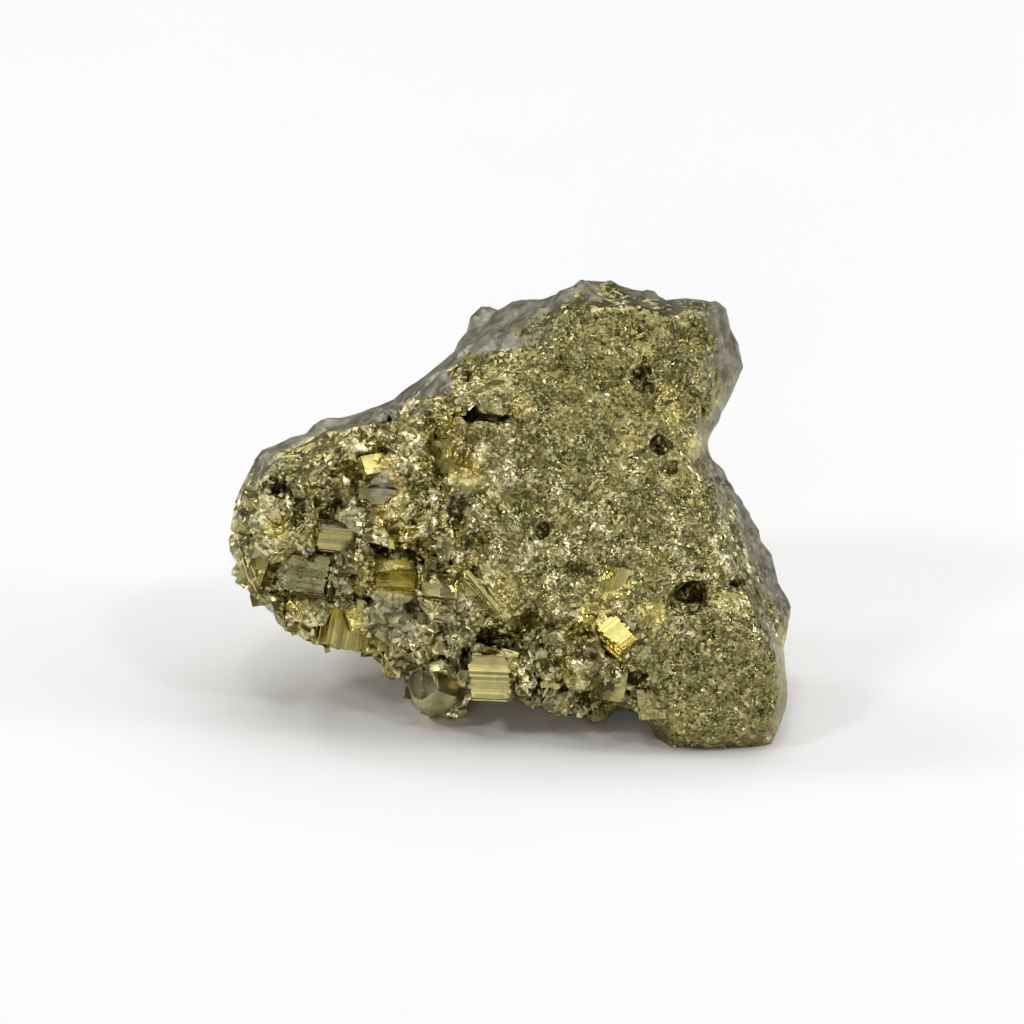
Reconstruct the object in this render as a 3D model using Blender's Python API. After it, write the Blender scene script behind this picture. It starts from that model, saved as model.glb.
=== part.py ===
"""Pyrite specimen: one natural chunk of intergrown pyrite crystals, 45 mm wide, as one closed solid.

The chunk is laid out in its "face frame", in millimetres: x to the right, y up the broad broken face and z out
of that face. The frame then leans back by FACE_LEAN and is set on the ground, in metres, with +Z up.

It is built in this order:
  1. convex lumps of massive pyrite, fused by a voxel remesh;
  2. broad waviness, and a relief of intergrown cubes on the skin, coarse on the left and fine elsewhere;
  3. crystals with flat faces, fused on, and pits, slots and recesses, cut out;
  4. the worn contact facets that it rests on, cut by the ground plane.
"""

import math
import random
from typing import NamedTuple

import bmesh
import bpy
import numpy as np
from mathutils import Euler, Matrix, Vector, noise
from mathutils.bvhtree import BVHTree
from mathutils.kdtree import KDTree

NODE = "pyrite"
MM = 0.001
FACE_LEAN = 25.0  # degrees that the broad face leans back from upright
GROUND_Y = 2.43  # mm, the ground in the face frame is y = GROUND_Y + GROUND_SLOPE * z
GROUND_SLOPE = -math.tan(math.radians(FACE_LEAN))
FUSE_VOXEL = 0.55  # mm, cell of the remesh that fuses the lumps
RELIEF_VOXEL = 0.40  # mm, cell of the remesh that cleans the relief
SKIN_TRIANGLES = 4700  # what the fused skin is reduced to before crystals are added
SEED = 11

# Lumps of massive pyrite. Each is the convex hull of its points (x, y, z) in the face frame, in mm.
LUMPS = {
    "left_lobe": [
        (-22.0, 17.2, 0.0), (-22.0, 20.2, -0.5), (-21.2, 22.1, -1.5), (-19.8, 23.9, -2.5), (-17.2, 25.3, -3.5),
        (-13.0, 26.0, -4.5), (-8.0, 28.1, -5.5), (-21.7, 14.2, 0.0), (-20.1, 12.1, 0.5), (-18.3, 10.0, 0.5),
        (-15.4, 8.8, 0.0), (-11.8, 8.4, -1.0), (-7.0, 8.0, -1.0),
        (-19.0, 13.0, 3.5), (-20.3, 17.0, 3.5), (-18.5, 21.0, 3.5), (-14.0, 23.5, 4.5), (-7.0, 26.0, 5.0),
        (-14.0, 11.0, 4.5), (-6.0, 11.0, 6.0), (-12.0, 17.0, 6.3), (-6.0, 22.0, 6.2),
        (-18.0, 13.0, -6.0), (-18.5, 20.0, -7.0), (-12.0, 23.0, -9.5), (-6.0, 25.0, -10.5), (-12.0, 10.0, -7.5),
        (-6.0, 10.0, -10.0),
    ],
    "middle": [
        (-7.0, 26.0, 5.2), (2.0, 30.0, 5.0), (13.0, 24.0, 6.0), (15.0, 20.0, 6.5), (13.0, 6.0, 8.0), (3.0, 5.5, 6.5),
        (-6.0, 9.0, 6.0), (-7.0, 18.0, 6.5),
        (-9.0, 28.0, -5.0), (-6.2, 30.4, -5.0), (-4.2, 31.2, -5.5), (3.0, 33.0, -6.0), (15.8, 23.4, 0.0),
        (17.4, 20.0, 0.0), (9.0, 4.2, 2.0), (0.0, 4.6, 1.5), (-8.6, 6.7, 0.5), (-10.8, 7.4, 0.0),
        (-8.0, 25.0, -11.0), (4.0, 30.0, -10.0), (14.0, 22.0, -7.0), (15.0, 10.0, -8.0), (8.0, 8.6, -11.5),
        (-7.0, 8.9, -11.0), (-10.0, 18.0, -11.0),
    ],
    "head": [
        (2.3, 29.0, 4.6), (3.8, 33.8, 3.6), (6.5, 35.2, 3.2), (10.0, 34.8, 2.6), (14.4, 34.2, 2.8), (15.0, 31.0, 4.0),
        (15.0, 27.0, 5.0), (13.8, 23.5, 6.0), (5.0, 22.0, 6.0),
        (0.8, 31.0, 1.0), (3.2, 35.9, -1.0), (4.7, 37.3, -2.0), (6.2, 37.4, -2.5), (7.8, 36.4, -3.0),
        (10.2, 35.0, -2.5), (12.4, 34.7, -2.0), (16.6, 34.4, -2.5), (17.4, 33.5, -3.0), (18.3, 31.4, -3.0),
        (18.4, 30.2, -3.0), (17.8, 28.2, -2.5), (16.4, 25.7, -1.0), (15.1, 24.3, 0.0),
        (3.0, 32.0, -8.5), (7.0, 35.0, -8.0), (14.0, 34.0, -8.0), (16.0, 30.0, -8.0), (14.0, 24.0, -8.0),
        (4.0, 24.0, -10.0),
    ],
    "head_corner": [
        (13.6, 35.9, -2.0), (15.3, 36.2, -2.0), (17.0, 35.5, -2.5), (17.5, 33.6, -3.0), (14.0, 34.9, 2.4),
        (15.4, 34.6, 1.6), (15.6, 32.0, 2.8), (12.4, 34.8, -1.5), (15.0, 34.0, -6.5), (16.0, 31.0, -5.0),
        (12.5, 32.0, 0.0),
    ],
    "shoulder": [
        (1.8, 29.5, 3.6), (2.8, 33.5, 2.2), (-4.2, 28.8, 2.6), (-1.0, 26.0, 4.5),
        (3.4, 36.1, -2.5), (1.1, 36.2, -5.0), (-0.1, 35.4, -6.0), (-2.3, 34.3, -6.5), (-3.9, 33.0, -6.5),
        (-5.3, 31.1, -5.0), (1.0, 32.0, -9.5), (-4.0, 29.0, -9.5), (3.0, 26.0, -10.0),
    ],
    "shoulder_knob": [
        (-3.8, 33.3, -7.5), (-3.5, 34.4, -7.2), (-2.5, 35.3, -7.8), (-1.2, 35.3, -7.8), (0.1, 34.7, -8.0),
        (-2.0, 33.8, -5.8), (-1.8, 32.6, -9.5), (-3.0, 32.6, -9.0), (-0.5, 33.0, -9.5), (-1.5, 31.0, -6.0),
    ],
    "right_flank": [
        (14.2, 22.3, 6.0), (15.2, 19.0, 6.6), (16.3, 15.0, 7.2), (19.0, 10.5, 7.0), (13.0, 10.0, 8.0),
        (15.9, 22.8, 1.0), (16.8, 22.1, -1.0), (16.9, 20.3, -2.0), (16.4, 17.7, -2.5), (16.8, 15.4, -2.5),
        (19.6, 13.9, -2.0), (21.8, 12.6, -1.5), (22.3, 10.2, -0.5), (22.6, 8.6, 0.0),
        (15.0, 20.0, -7.0), (17.0, 14.0, -7.5), (18.0, 8.5, -6.0), (12.0, 12.0, -9.0),
    ],
    "foot": [
        (11.8, 12.0, 8.3), (19.5, 9.5, 7.8), (20.8, 6.0, 7.2), (20.5, 3.0, 6.8), (17.0, 1.9, 7.2), (13.2, 2.0, 7.0),
        (11.5, 4.0, 7.6),
        (21.9, 7.8, 1.5), (21.4, 5.5, 2.5), (22.2, 3.1, 2.5), (21.4, 1.5, 3.0), (20.0, -0.4, 4.0), (17.0, -0.7, 4.3),
        (13.2, -0.7, 4.3), (12.2, 0.9, 4.0), (10.5, 2.3, 3.5), (9.2, 3.9, 3.0),
        (19.8, 0.4, 2.4), (13.2, 0.4, 2.4), (19.0, 4.5, -4.0), (12.0, 4.5, -4.0), (18.0, 9.0, -6.0),
        (11.0, 9.0, -8.0),
    ],
    "left_bump": [
        (-8.1, 6.4, 0.2), (-7.9, 4.7, 0.4), (-7.1, 2.8, -0.6), (-5.9, 2.1, -0.6), (-4.5, 2.6, -0.6), (-3.4, 4.2, 0.4),
        (-3.2, 6.4, 0.2), (-7.0, 5.6, 3.0), (-4.8, 5.6, 3.0), (-7.0, 4.0, 2.0), (-5.0, 3.8, 2.0),
        (-7.0, 2.8, -2.4), (-5.0, 2.8, -2.4), (-7.6, 4.9, -4.0), (-4.3, 4.9, -4.0), (-6.0, 9.0, 2.0),
        (-6.0, 9.0, -4.0),
    ],
    "bottom_ridge": [
        (0.3, 4.4, 0.5), (2.2, 3.4, 0.5), (4.5, 2.9, 0.8), (6.3, 2.8, 0.8), (7.7, 3.8, 0.8), (8.9, 3.9, 1.0),
        (2.0, 5.0, 5.5), (7.0, 5.2, 6.0), (8.3, 6.0, 6.0), (1.0, 7.0, -4.0), (8.0, 6.6, -4.0), (4.0, 9.0, 6.0),
    ],
    "back_keel": [
        (-10.0, 7.6, -11.8), (10.0, 7.6, -11.8), (-10.0, 6.8, -9.8), (10.0, 6.8, -9.8), (12.0, 12.0, -12.5),
        (-11.0, 13.0, -13.0), (-8.0, 22.0, -12.5), (6.0, 24.0, -12.0), (0.0, 28.0, -10.0), (-9.0, 8.5, -6.0),
        (9.0, 7.5, -6.0), (12.0, 9.0, -5.0), (-11.0, 18.0, -6.0), (12.0, 20.0, -6.0),
    ],
}


class Block(NamedTuple):
    """A crystal or a hollow: where it is on the skin, x and y in mm, and its size, and its turn about x, y, z.

    rise is how far its nearest point stands out of the skin; below 0 it is how deep a hollow goes.
    It is a box, or with sides other than 4 a prism along its own z, or with ROUND an ellipsoid.
    """

    name: str
    at: tuple
    rise: float
    size: tuple
    turn: tuple
    sides: int = 4


ROUND = 0

# Crystals with flat faces that stand out of the front skin.
CRYSTALS = [
    Block("striped_corner", (-13.7, 10.2), 1.5, (3.9, 4.2, 3.9), (6, 33, -7)),
    Block("window_cube", (-1.55, 6.1), 0.9, (3.3, 3.9, 4.6), (10, -5, -2)),
    Block("bright_cube", (8.95, 8.4), 1.2, (2.5, 2.9, 2.9), (-46.7, 16.2, 43.3)),
    Block("bright_bar", (8.2, 12.9), 0.5, (2.0, 3.6, 2.4), (12, 24, -8)),
    Block("notch_cube", (11.3, 3.8), 0.7, (2.2, 2.4, 2.6), (8, -14, 3)),
    Block("ridge_cube", (7.7, 5.3), 0.7, (1.9, 2.4, 2.4), (10, 20, -6)),
    Block("left_slab", (-16.0, 13.7), 0.9, (4.4, 3.2, 2.8), (-10, -18, -8)),
    Block("pink_slab", (-13.8, 17.0), 0.6, (3.4, 2.2, 2.8), (16, 10, -5)),
    Block("white_plate", (-10.6, 20.7), 0.7, (3.2, 0.9, 2.4), (26, 8, -4)),
    Block("gold_wedge", (-10.6, 22.1), 0.6, (3.0, 1.7, 2.4), (-28, 20, 10)),
    Block("gold_step", (-3.6, 22.1), 0.5, (2.4, 1.6, 2.0), (30, -14, -10)),
    Block("leaf_plate", (-5.6, 23.2), 0.6, (1.1, 2.6, 1.8), (8, 38, 12)),
    Block("plate_edge", (-2.7, 12.2), 0.6, (0.7, 4.4, 2.0), (4, 30, 42)),
    Block("bump_mirror", (-7.2, 5.2), 0.8, (2.1, 2.3, 2.2), (-14, -40, 12)),
    Block("bump_facet", (-5.0, 4.8), 0.7, (2.4, 2.2, 2.0), (30, 28, -8)),
    Block("left_tip", (-19.7, 14.2), 0.8, (2.4, 3.4, 2.8), (10, -34, -26)),
    Block("left_boss", (-19.2, 18.9), 0.6, (2.2, 2.4, 2.2), (-10, -30, 20)),
    Block("ledge_block", (-6.0, 12.6), 0.6, (3.4, 2.0, 2.4), (-22, 10, -6)),
    Block("head_block", (14.8, 33.2), 0.3, (2.6, 3.2, 3.0), (8, 42, 10)),
    Block("overhang", (-1.2, 27.7), 0.8, (3.4, 3.0, 3.4), (0, 0, 0), ROUND),
]

# Crystals that stand out of the back.
BACK_CRYSTALS = [
    Block("back_cube_high", (2.0, 26.0), 1.4, (6.4, 5.6, 5.4), (28, 24, 12)),
    Block("back_cube_low", (-6.0, 16.5), 1.3, (5.4, 5.2, 5.2), (-32, 24, 30)),
    Block("back_cube_right", (11.0, 15.5), 1.2, (5.2, 4.8, 5.0), (34, -26, 8)),
]

# Pits, slots and recesses in the front.
PITS = [
    Block("slot_end", (-3.2, 26.4), -2.2, (1.5, 1.2, 5.0), (0, 8, 42)),
    Block("slot", (-1.6, 26.15), -1.6, (2.8, 0.5, 4.0), (0, 0, -3)),
    Block("alcove_roof", (-0.9, 8.7), -1.8, (3.8, 1.3, 5.0), (-6, 0, -18)),
    Block("alcove_side", (0.9, 7.3), -1.6, (1.1, 3.2, 4.6), (0, 0, 20)),
    Block("alcove_gap", (-3.7, 7.2), -1.6, (0.9, 1.8, 4.4), (0, 0, 0)),
    Block("rough_pit", (13.9, 11.8), -2.0, (3.5, 3.1, 4.6), (4, 6, 12), 7),
    Block("rough_pit_floor", (14.3, 12.3), -2.7, (2.2, 2.0, 2.4), (40, 25, 10)),
    Block("dish", (9.4, 23.5), -0.8, (6.2, 3.4, 3.2), (0, 0, 4), ROUND),
    Block("dish_pit", (11.8, 24.0), -1.4, (1.4, 1.4, 1.6), (45, 35, 30)),
    Block("dish_pit_low", (12.6, 22.1), -1.1, (1.2, 1.5, 1.5), (40, 30, -20)),
    Block("gold_recess", (-9.1, 14.3), -2.1, (3.5, 3.5, 4.6), (4, 6, -3)),
    Block("left_hollow", (-18.7, 20.7), -1.4, (2.6, 2.4, 2.6), (35, 25, 24)),
    Block("centre_pit_high", (2.8, 17.3), -1.0, (1.6, 0.9, 1.8), (30, 12, 14)),
    Block("centre_pit_low", (5.1, 14.1), -1.0, (1.8, 1.0, 1.8), (35, -10, -14)),
    Block("head_pit", (10.4, 29.2), -1.2, (1.2, 1.9, 2.0), (10, 38, 20)),
    Block("ring_pit", (15.5, 27.0), -1.2, (1.3, 1.3, 1.6), (40, 30, 30)),
    Block("flank_pit", (17.6, 13.2), -1.0, (1.1, 1.1, 1.4), (35, 30, 20)),
    Block("foot_gap", (9.6, 5.5), -1.4, (2.0, 1.6, 2.2), (40, 20, -24)),
    Block("ridge_gap", (2.3, 4.8), -1.3, (1.6, 1.6, 2.0), (40, 35, 38)),
    Block("lobe_notch", (-17.5, 9.9), -1.3, (1.4, 0.9, 3.6), (0, 0, -36)),
]

BACK_PITS = [Block("back_hollow", (3.5, 17.5), -1.6, (5.4, 4.6, 4.4), (14, -18, 22), 6)]

# Smaller crystals scattered where the relief is coarse.
SCATTER_COUNT, SCATTER_SPACING = 125, 1.4
SCATTER_SIDE = (1.3, 2.9)  # mm, their shortest and longest side
SCATTER_PROUD = (0.15, 0.65)  # mm that they stand out of the skin
LEFT_TIP_X = -20.8  # mm, the worn tip beyond this has none
BACK_Z, BACK_THINNING = -1.0, 0.8  # behind BACK_Z this share of the places is passed over


class Relief(NamedTuple):
    """A relief of intergrown cubes: their spacing and side in mm, the share of it that shows and its seed."""

    spacing: float
    side: float
    share: float
    seed: int


COARSE_RELIEF = Relief(spacing=1.9, side=2.1, share=0.95, seed=3)
FINE_RELIEF = Relief(spacing=1.3, side=1.3, share=0.5, seed=5)
WAVE_LENGTH, WAVE_HEIGHT = 6.0, 0.45  # mm, the broad waviness of the skin


def clear_scene():
    for old in list(bpy.data.objects):
        bpy.data.objects.remove(old)


def new_object(name, mesh):
    made = bpy.data.objects.new(name, mesh)
    bpy.context.scene.collection.objects.link(made)
    return made


def add_hull(bm, points):
    """Adds the convex hull of the points to the mesh."""
    corners = [bm.verts.new(point) for point in points]
    made = bmesh.ops.convex_hull(bm, input=corners)
    inner = {v for v in made["geom_interior"] + made["geom_unused"] if isinstance(v, bmesh.types.BMVert)}
    bmesh.ops.delete(bm, geom=list(inner), context="VERTS")


def applied(obj):
    """The object's mesh with its modifiers applied, in place of them."""
    graph = bpy.context.evaluated_depsgraph_get()
    mesh = bpy.data.meshes.new_from_object(obj.evaluated_get(graph))
    obj.modifiers.clear()
    obj.data = mesh
    return obj


def fused(obj, voxel):
    """The object remade as one closed skin."""
    remesh = obj.modifiers.new("fuse", "REMESH")
    remesh.mode = "VOXEL"
    remesh.voxel_size = voxel
    return applied(obj)


def points_and_normals(mesh):
    points = np.empty(len(mesh.vertices) * 3)
    normals = np.empty(len(mesh.vertices) * 3)
    mesh.vertices.foreach_get("co", points)
    mesh.vertex_normals.foreach_get("vector", normals)
    return points.reshape(-1, 3), normals.reshape(-1, 3)


def move_points(mesh, points):
    mesh.vertices.foreach_set("co", points.ravel())
    mesh.update()


def random_turn(rng):
    """A turn with no favoured direction."""
    axis = Vector([rng.gauss(0, 1) for _ in range(3)]).normalized()
    return np.array(Matrix.Rotation(rng.uniform(0, math.pi), 3, axis))


def spaced_sites(points, spacing, rng):
    """Points of the skin, in a random order, that are at least the spacing apart."""
    order = list(range(len(points)))
    rng.shuffle(order)
    sites, cells = [], {}
    for i in order:
        p = points[i]
        cell = tuple(int(math.floor(x / spacing)) for x in p)
        near = (
            other
            for dx in (-1, 0, 1)
            for dy in (-1, 0, 1)
            for dz in (-1, 0, 1)
            for other in cells.get((cell[0] + dx, cell[1] + dy, cell[2] + dz), ())
        )
        if all(np.dot(p - other, p - other) >= spacing * spacing for other in near):
            cells.setdefault(cell, []).append(p)
            sites.append(p)
    return np.array(sites)


def cube_heights(points, normals, relief):
    """How far along its normal each point leaves the pile of randomly turned cubes that is sunk in the skin."""
    rng = random.Random(relief.seed)
    sites = spaced_sites(points, relief.spacing, rng)
    turns = np.array([random_turn(rng) for _ in sites])
    halves = np.array([relief.side * rng.uniform(0.35, 0.62) for _ in sites])
    tree = KDTree(len(sites))
    for i, site in enumerate(sites):
        tree.insert(site, i)
    tree.balance()
    neighbours = 9
    near = np.array([[i for _, i, _ in tree.find_n(p, neighbours)] for p in points])
    best = np.full(len(points), -0.4 * relief.side)
    for k in range(neighbours):
        who = near[:, k]
        start = np.einsum("nji,nj->ni", turns[who], points - sites[who])
        along = np.einsum("nji,nj->ni", turns[who], normals)
        along = np.where(np.abs(along) < 1e-6, 1e-6, along)
        half = halves[who, None]
        leave = ((np.sign(along) * half - start) / along).min(axis=1)
        enter = ((-np.sign(along) * half - start) / along).max(axis=1)
        best = np.where((leave > enter) & (leave > best), leave, best)
    return np.clip(best, -0.4 * relief.side, 0.6 * relief.side) - 0.15 * relief.side


def smooth_step(x, low, high):
    t = np.clip((x - low) / (high - low), 0, 1)
    return t * t * (3 - 2 * t)


def coarse_share(points):
    """1 where the crystals are coarse: the left lobe and the lower front, and patches behind."""
    x, y, z = points.T
    left = 1 - smooth_step(x, -4.5, 0.5)
    low = (1 - smooth_step(y, 10.0, 13.0)) * (1 - smooth_step(x, 9.0, 12.0))
    behind = 1 - smooth_step(z, -7.0, -3.0)
    patches = np.array([noise.noise(Vector(p) * 0.12) for p in points])
    return np.maximum.reduce([left, low, behind * smooth_step(patches, -0.1, 0.15)])


def smooth_share(points):
    """1 on the smooth grey planes: the shoulder, the head's right side and the left lobe's top."""
    x, y, z = points.T
    shoulder = smooth_step(y - 29.5 - 0.75 * (x + 5), 0, 1.0) * (1 - smooth_step(x, 3.0, 5.0))
    right_side = smooth_step(x, 15.0, 16.2) * smooth_step(y, 25.0, 28.0)
    lobe_top = smooth_step(y - 0.3 * x, 29.0, 30.0) * (1 - smooth_step(x, -7.0, -5.0))
    return np.maximum.reduce([shoulder, right_side, lobe_top])


def roughen(obj):
    """Gives the skin its waviness and its relief of cubes."""
    points, normals = points_and_normals(obj.data)
    waves = np.array([noise.fractal(Vector(p) / WAVE_LENGTH, 0.9, 2.1, 3) for p in points])
    coarse = coarse_share(points)
    rough = 1 - 0.85 * smooth_share(points)
    height = WAVE_HEIGHT * waves
    height += rough * coarse * COARSE_RELIEF.share * cube_heights(points, normals, COARSE_RELIEF)
    height += rough * (1 - coarse) * FINE_RELIEF.share * cube_heights(points, normals, FINE_RELIEF)
    move_points(obj.data, points + normals * height[:, None])


class Placed(NamedTuple):
    """A block with its middle and turn worked out."""

    middle: Vector
    turn: Matrix
    size: Vector
    sides: int


def half_extent(turn, size, direction):
    """How far a box of the size reaches from its middle along the direction."""
    return sum(abs(direction.dot(turn.col[k])) * size[k] / 2 for k in range(3))


def seat(block, tree, outward):
    """Seats the block on the skin at its x and y, the skin found by looking back along outward, +z or -z."""
    direction = Vector((0, 0, outward))
    found = tree.ray_cast(Vector((*block.at, 50.0 * outward)), -direction)[0]
    turn = Euler([math.radians(t) for t in block.turn]).to_matrix()
    reach = half_extent(turn, block.size, direction)
    lift = block.rise - reach if block.rise > 0 else block.rise + reach
    return Placed(found + direction * lift, turn, Vector(block.size), block.sides)


def add_block(bm, placed):
    """Adds the placed block to the mesh."""
    place = Matrix.Translation(placed.middle) @ placed.turn.to_4x4() @ Matrix.Diagonal((*placed.size, 1.0))
    if placed.sides == ROUND:
        bmesh.ops.create_icosphere(bm, subdivisions=2, radius=0.5, matrix=place)
    elif placed.sides == 4:
        bmesh.ops.create_cube(bm, size=1.0, matrix=place)
    else:
        bmesh.ops.create_cone(
            bm, cap_ends=True, segments=placed.sides, radius1=0.4, radius2=0.5, depth=1.0, matrix=place
        )


def block_object(name, blocks):
    """One mesh of all the placed blocks, as a helper that is left out of the model."""
    bm = bmesh.new()
    for placed in blocks:
        add_block(bm, placed)
    mesh = bpy.data.meshes.new(name)
    bm.to_mesh(mesh)
    bm.free()
    helper = new_object(name, mesh)
    helper.hide_render = True
    helper.display_type = "WIRE"
    return helper


def named_blocks(mesh):
    """The named crystals and hollows, seated on the skin."""
    bm = bmesh.new()
    bm.from_mesh(mesh)
    tree = BVHTree.FromBMesh(bm)
    crystals = [seat(b, tree, 1) for b in CRYSTALS] + [seat(b, tree, -1) for b in BACK_CRYSTALS]
    hollows = [seat(b, tree, 1) for b in PITS] + [seat(b, tree, -1) for b in BACK_PITS]
    bm.free()
    return crystals, hollows


def scattered_crystals(mesh, named):
    """Crystals sunk in the coarse part of the skin, each just proud of it and clear of the named blocks."""
    rng = random.Random(SEED)
    points, normals = points_and_normals(mesh)
    shares = coarse_share(points) * (1 - smooth_share(points))
    order = list(range(len(points)))
    rng.shuffle(order)
    taken = [(b.middle, 0.5 * max(b.size.xy) + 1.5) for b in named]
    crystals = []
    for i in order:
        if len(crystals) == SCATTER_COUNT:
            break
        place, outward = Vector(points[i]), Vector(normals[i])
        near_ground = place.y < GROUND_Y + GROUND_SLOPE * place.z + 2.6
        near_block = any((place - at).xy.length < room and (place - at).length < 5 for at, room in taken)
        thinned = place.z < BACK_Z and rng.random() < BACK_THINNING
        if shares[i] < 0.6 or near_ground or near_block or thinned or place.x < LEFT_TIP_X:
            continue
        side = rng.triangular(*SCATTER_SIDE, SCATTER_SIDE[0])
        size = Vector((side, side * rng.uniform(0.7, 1.1), side * rng.uniform(0.8, 1.2)))
        turn = Matrix(random_turn(rng).tolist())
        lift = rng.uniform(*SCATTER_PROUD) - half_extent(turn, size, outward)
        crystals.append(Placed(place + outward * lift, turn, size, 4))
        taken.append((place, SCATTER_SPACING))
    return crystals


def combine(obj, helper, operation):
    cut = obj.modifiers.new(operation.lower(), "BOOLEAN")
    cut.operation = operation
    cut.object = helper
    cut.solver = "EXACT"
    cut.use_self = True
    applied(obj)
    bpy.data.objects.remove(helper)
    return obj


def reduced(obj, triangles):
    """The skin with its flat stretches in few triangles."""
    obj.data.calc_loop_triangles()
    decimate = obj.modifiers.new("reduce", "DECIMATE")
    decimate.ratio = triangles / len(obj.data.loop_triangles)
    decimate.use_collapse_triangulate = True
    return applied(obj)


def ground_slab():
    """A slab with the ground as its top, for cutting the lowest lumps off flat where they rest on it."""
    turn = Matrix.Rotation(math.radians(FACE_LEAN), 3, "X")
    size = Vector((80, 10, 80))
    return Placed(Vector((0, GROUND_Y, 0)) - turn.col[1] * size.y / 2, turn, size, 4)


def drop_crumbs(obj):
    """Leaves only the largest body, as crumbs that the hollows cut free fall away."""
    bm = bmesh.new()
    bm.from_mesh(obj.data)
    left, bodies = set(bm.verts), []
    while left:
        body, edge = set(), [left.pop()]
        while edge:
            v = edge.pop()
            body.add(v)
            near = {e.other_vert(v) for e in v.link_edges} & left
            left -= near
            edge.extend(near)
        bodies.append(body)
    bodies.sort(key=len)
    bmesh.ops.delete(bm, geom=[v for body in bodies[:-1] for v in body], context="VERTS")
    bm.to_mesh(obj.data)
    bm.free()


def set_down(obj):
    """Leans the face frame back, in metres, and puts the middle of the base of its box at the origin."""
    stand = Matrix.Rotation(math.radians(90 - FACE_LEAN), 4, "X") @ Matrix.Scale(MM, 4)
    obj.data.transform(stand)
    points, _ = points_and_normals(obj.data)
    low, high = points.min(axis=0), points.max(axis=0)
    middle = (low + high) / 2
    obj.data.transform(Matrix.Translation((-middle[0], -middle[1], -low[2])))


def pyrite_material():
    material = bpy.data.materials.new("pyrite")
    material.use_nodes = True
    shader = material.node_tree.nodes["Principled BSDF"]
    shader.inputs["Base Color"].default_value = (0.50, 0.44, 0.24, 1)
    shader.inputs["Metallic"].default_value = 1.0
    shader.inputs["Roughness"].default_value = 0.35
    return material


def build():
    clear_scene()
    bm = bmesh.new()
    for points in LUMPS.values():
        add_hull(bm, points)
    mesh = bpy.data.meshes.new(NODE)
    bm.to_mesh(mesh)
    bm.free()
    rock = new_object(NODE, mesh)
    fused(rock, FUSE_VOXEL)
    roughen(rock)
    fused(rock, RELIEF_VOXEL)
    reduced(rock, SKIN_TRIANGLES)
    crystals, hollows = named_blocks(rock.data)
    crystals += scattered_crystals(rock.data, crystals + hollows)
    combine(rock, block_object("hollows", hollows), "DIFFERENCE")
    combine(rock, block_object("crystals", crystals), "UNION")
    combine(rock, block_object("ground", [ground_slab()]), "DIFFERENCE")
    drop_crumbs(rock)
    set_down(rock)
    rock.data.materials.clear()
    rock.data.materials.append(pyrite_material())
    return rock


build()
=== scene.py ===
"""Pyrite specimen: the looks of a natural chunk of intergrown pyrite crystals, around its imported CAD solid.

The skin is the CAD solid's own surface with the fine relief that the solid leaves out. Grains, small crystals
and striped crystals are grown into it. Shapes are worked out in the chunk's face frame, in millimetres: x to
the right, y up the broad broken face and z out of it. They are then set in the row frame, in metres.
"""

import math
from typing import NamedTuple

import bmesh
import bpy
import numpy as np
from mathutils import Euler, Matrix, Vector, noise
from mathutils.kdtree import KDTree


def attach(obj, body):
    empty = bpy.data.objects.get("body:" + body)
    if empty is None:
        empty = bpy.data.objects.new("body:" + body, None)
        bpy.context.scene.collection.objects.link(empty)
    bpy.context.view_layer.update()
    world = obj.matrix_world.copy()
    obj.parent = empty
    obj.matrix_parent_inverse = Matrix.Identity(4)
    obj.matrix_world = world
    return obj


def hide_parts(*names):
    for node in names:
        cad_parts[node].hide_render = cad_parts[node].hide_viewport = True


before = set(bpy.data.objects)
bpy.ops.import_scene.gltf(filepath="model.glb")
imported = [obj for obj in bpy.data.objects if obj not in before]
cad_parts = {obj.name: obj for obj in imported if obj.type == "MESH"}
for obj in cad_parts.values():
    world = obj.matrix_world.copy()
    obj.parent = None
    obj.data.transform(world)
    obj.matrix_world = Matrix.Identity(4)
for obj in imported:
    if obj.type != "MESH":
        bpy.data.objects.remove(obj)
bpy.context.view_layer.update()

NODE = SLOT = "pyrite"
MM = 0.001
FACE_LEAN = 25.0  # degrees that the broad face leans back from upright
FACE_SHIFT = Vector((0.0111, 8.834, 2.2023))  # mm from the face frame's origin to the row's, in row axes
FACE_TURN = Matrix.Rotation(math.radians(90 - FACE_LEAN), 4, "X")
FACE_TO_ROW = Matrix.Scale(MM, 4) @ Matrix.Translation(-FACE_SHIFT) @ FACE_TURN
SEED = 7

# longest edges of the skin's mesh in mm: on the front, behind, and on smooth planes
FRONT_EDGE, BACK_EDGE, FLAT_EDGE = 0.27, 0.75, 0.48
MOST_SPLITS = 9
CAVITY_DEPTH = 1.5  # mm below the surroundings, from where a hollow gets the full painted shade
COVERED_DROP = 0.4  # mm that the skin is set back behind the striped and rounded crystals


# -------- the skin's mesh, as arrays


def to_face(points):
    turn = np.array(FACE_TO_ROW.inverted())
    return points @ turn[:3, :3].T + turn[:3, 3]


def to_row(points):
    turn = np.array(FACE_TO_ROW)
    return points @ turn[:3, :3].T + turn[:3, 3]


def mesh_points(mesh):
    points = np.empty(len(mesh.vertices) * 3, np.float32)
    mesh.vertices.foreach_get("co", points)
    return points.reshape(-1, 3).astype(float)


def cad_surface():
    """The CAD solid's points, each once, and its triangles."""
    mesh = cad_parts[NODE].data
    mesh.calc_loop_triangles()
    corners = mesh_points(mesh)
    triangles = np.empty(len(mesh.loop_triangles) * 3, np.int32)
    mesh.loop_triangles.foreach_get("vertices", triangles)
    _, first, which = np.unique(np.round(corners / MM, 4), axis=0, return_index=True, return_inverse=True)
    triangles = which.reshape(-1)[triangles].reshape(-1, 3)
    whole = (triangles != np.roll(triangles, 1, axis=1)).all(axis=1)
    return to_face(corners[first]), triangles[whole]


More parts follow.
